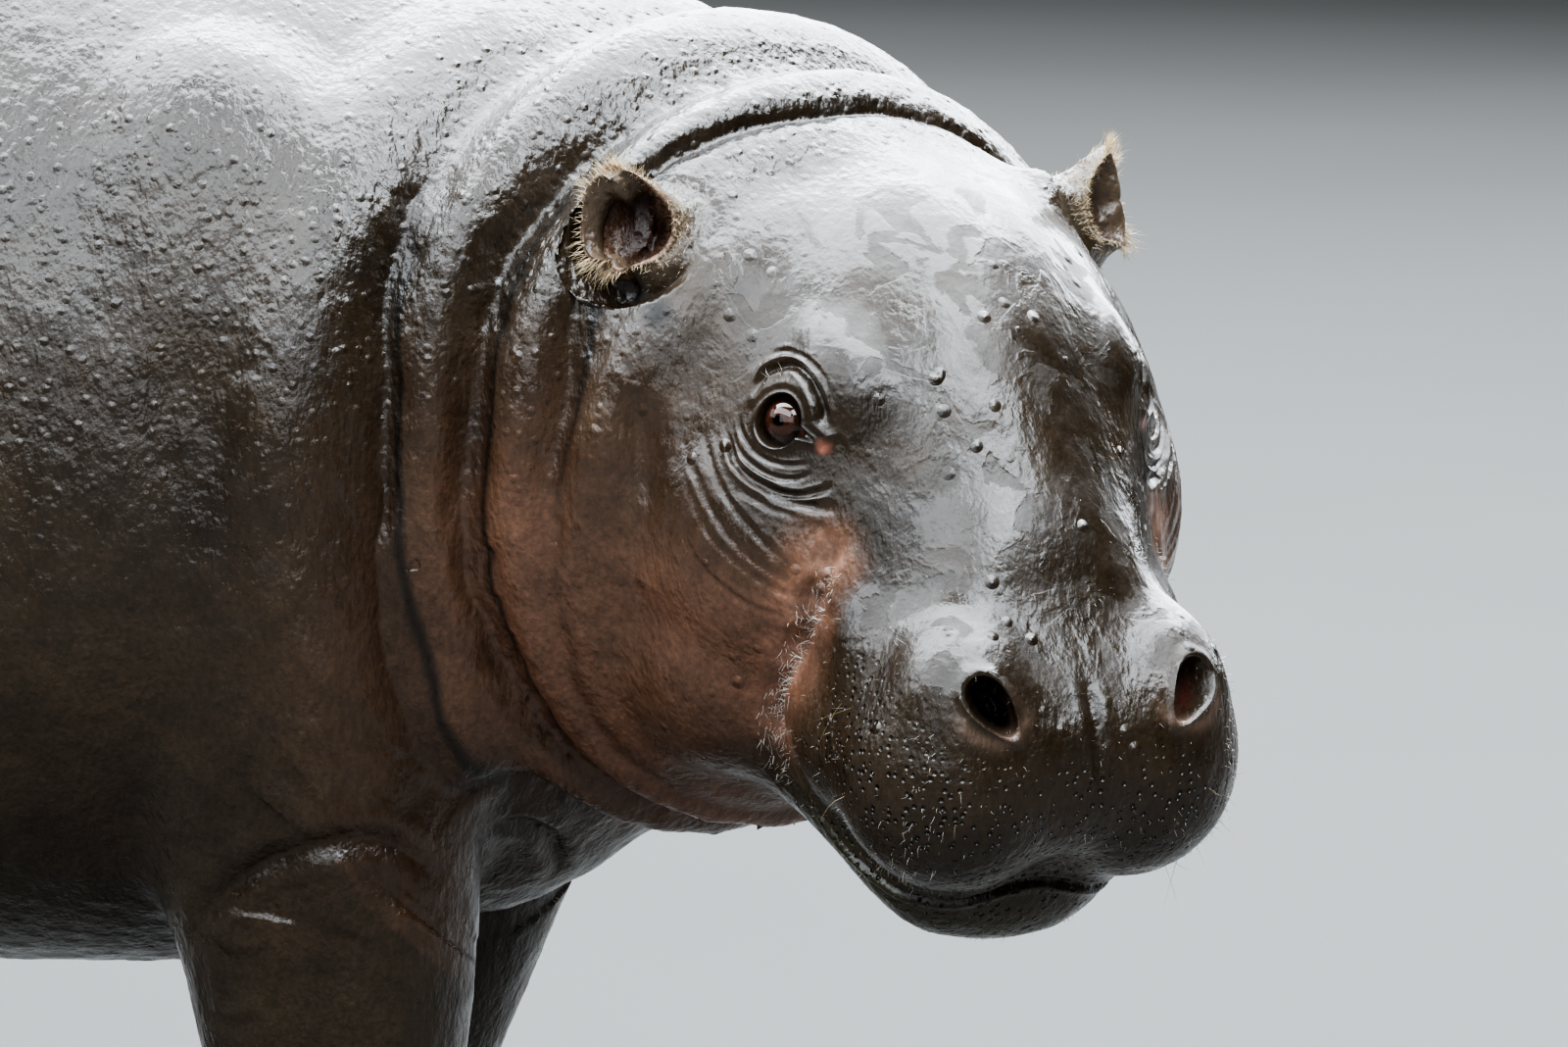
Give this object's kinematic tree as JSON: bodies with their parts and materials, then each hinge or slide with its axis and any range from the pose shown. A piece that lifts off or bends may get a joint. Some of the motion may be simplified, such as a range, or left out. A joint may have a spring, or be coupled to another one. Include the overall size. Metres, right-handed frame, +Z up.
{
  "type": "pygmy hippopotamus figure",
  "caption": "Life-size standing pygmy hippopotamus, head lowered and turned to its right, with smooth dark wet skin, rolls of skin on the neck, cupped ears and toed feet.",
  "frame": {"origin": "under the middle of the whole box, on the floor the four feet stand on", "axes": "+X from tail to head along the trunk, +Y to the animal's left, +Z up"},
  "size_m": [1.4268, 0.529, 0.8471],
  "materials": {
    "skin": "wet, glossy, finely pebbled hide",
    "eye": "polished",
    "nail": "satin horn"
  },
  "bodies": {
    "root": {"trunk": "skin", "neck": "skin", "head": "skin", "lower_jaw": "skin", "tail": "skin", "fore_left": "skin", "fore_right": "skin", "hind_left": "skin", "hind_right": "skin", "ear_left": "skin", "ear_right": "skin", "eye_left": "eye", "eye_right": "eye", "nail_fore_left_1": "nail", "nail_fore_left_2": "nail", "nail_fore_left_3": "nail", "nail_fore_left_4": "nail", "nail_fore_right_1": "nail", "nail_fore_right_2": "nail", "nail_fore_right_3": "nail", "nail_fore_right_4": "nail", "nail_hind_left_1": "nail", "nail_hind_left_2": "nail", "nail_hind_left_3": "nail", "nail_hind_left_4": "nail", "nail_hind_right_1": "nail", "nail_hind_right_2": "nail", "nail_hind_right_3": "nail", "nail_hind_right_4": "nail"}
  },
  "joints": []
}
